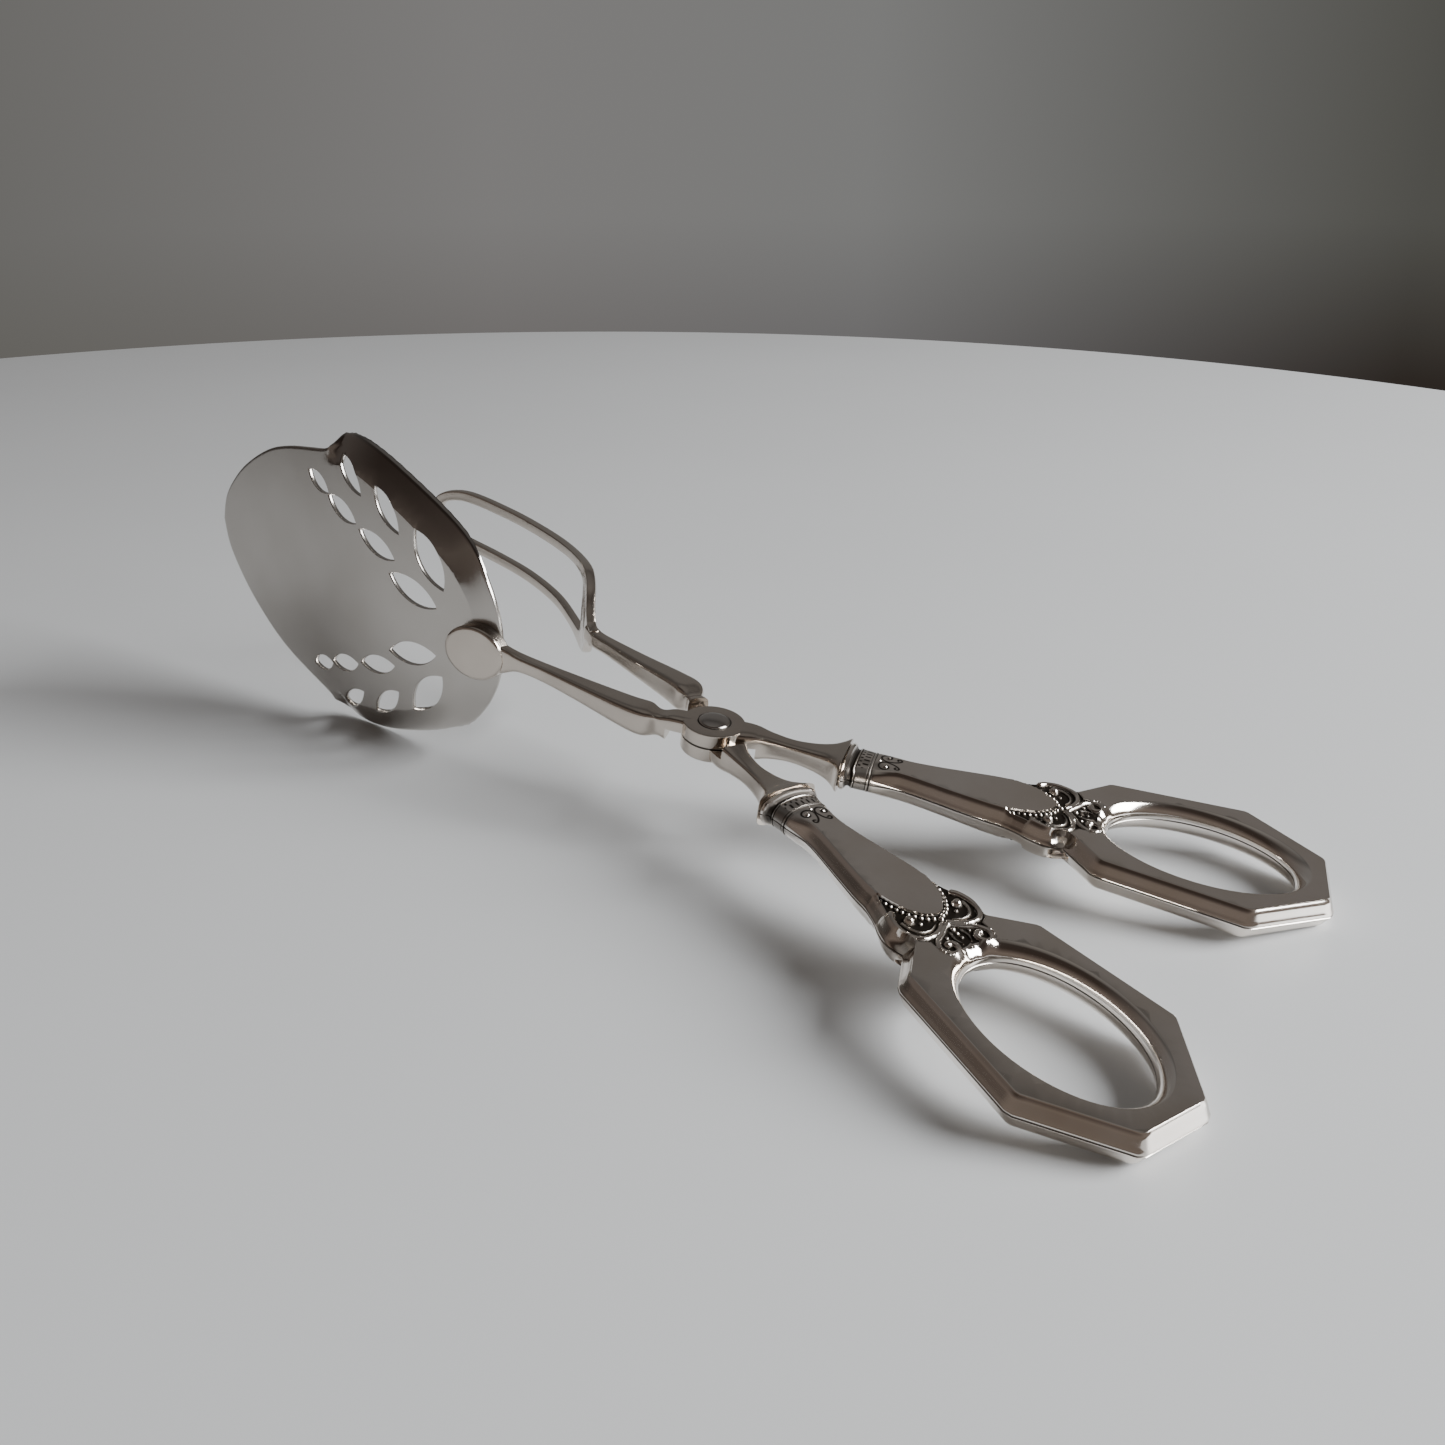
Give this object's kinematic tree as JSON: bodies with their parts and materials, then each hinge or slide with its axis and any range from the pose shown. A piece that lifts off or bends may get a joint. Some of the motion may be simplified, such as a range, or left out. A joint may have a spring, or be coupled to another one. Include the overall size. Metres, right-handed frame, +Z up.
{
  "type": "scissor-action serving tongs",
  "caption": "Scissor-action pastry tongs: a pierced dished server blade and an open loop jaw on crossed steel arms with flat silver handles and eight-sided finger loops.",
  "frame": {"origin": "centre of the bounding box in plan, on the table the tongs lie on", "axes": "+Z up from the table, +Y from the handles towards the jaws, the server blade's side at -X"},
  "size_m": [0.0862, 0.2112, 0.0581],
  "materials": {
    "steel": "polished and satin stainless steel",
    "silver": "polished silver with darkened recesses",
    "pitch": "dark handle cement"
  },
  "bodies": {
    "server_side": {"server_arm": "steel", "server_blade": "steel", "pivot_rivet": "steel", "far_shell_upper": "silver", "far_shell_lower": "silver", "far_cement": "pitch"},
    "loop_side": {"loop_arm": "steel", "near_shell_upper": "silver", "near_shell_lower": "silver", "near_cement": "pitch"}
  },
  "joints": [
    {"name": "pivot", "type": "hinge", "parent": "server_side", "child": "loop_side", "pos_m": [0, -0.0136, 0.0168], "axis": [0, -0.1561, 0.9877], "range_deg": [-80, 14]}
  ]
}
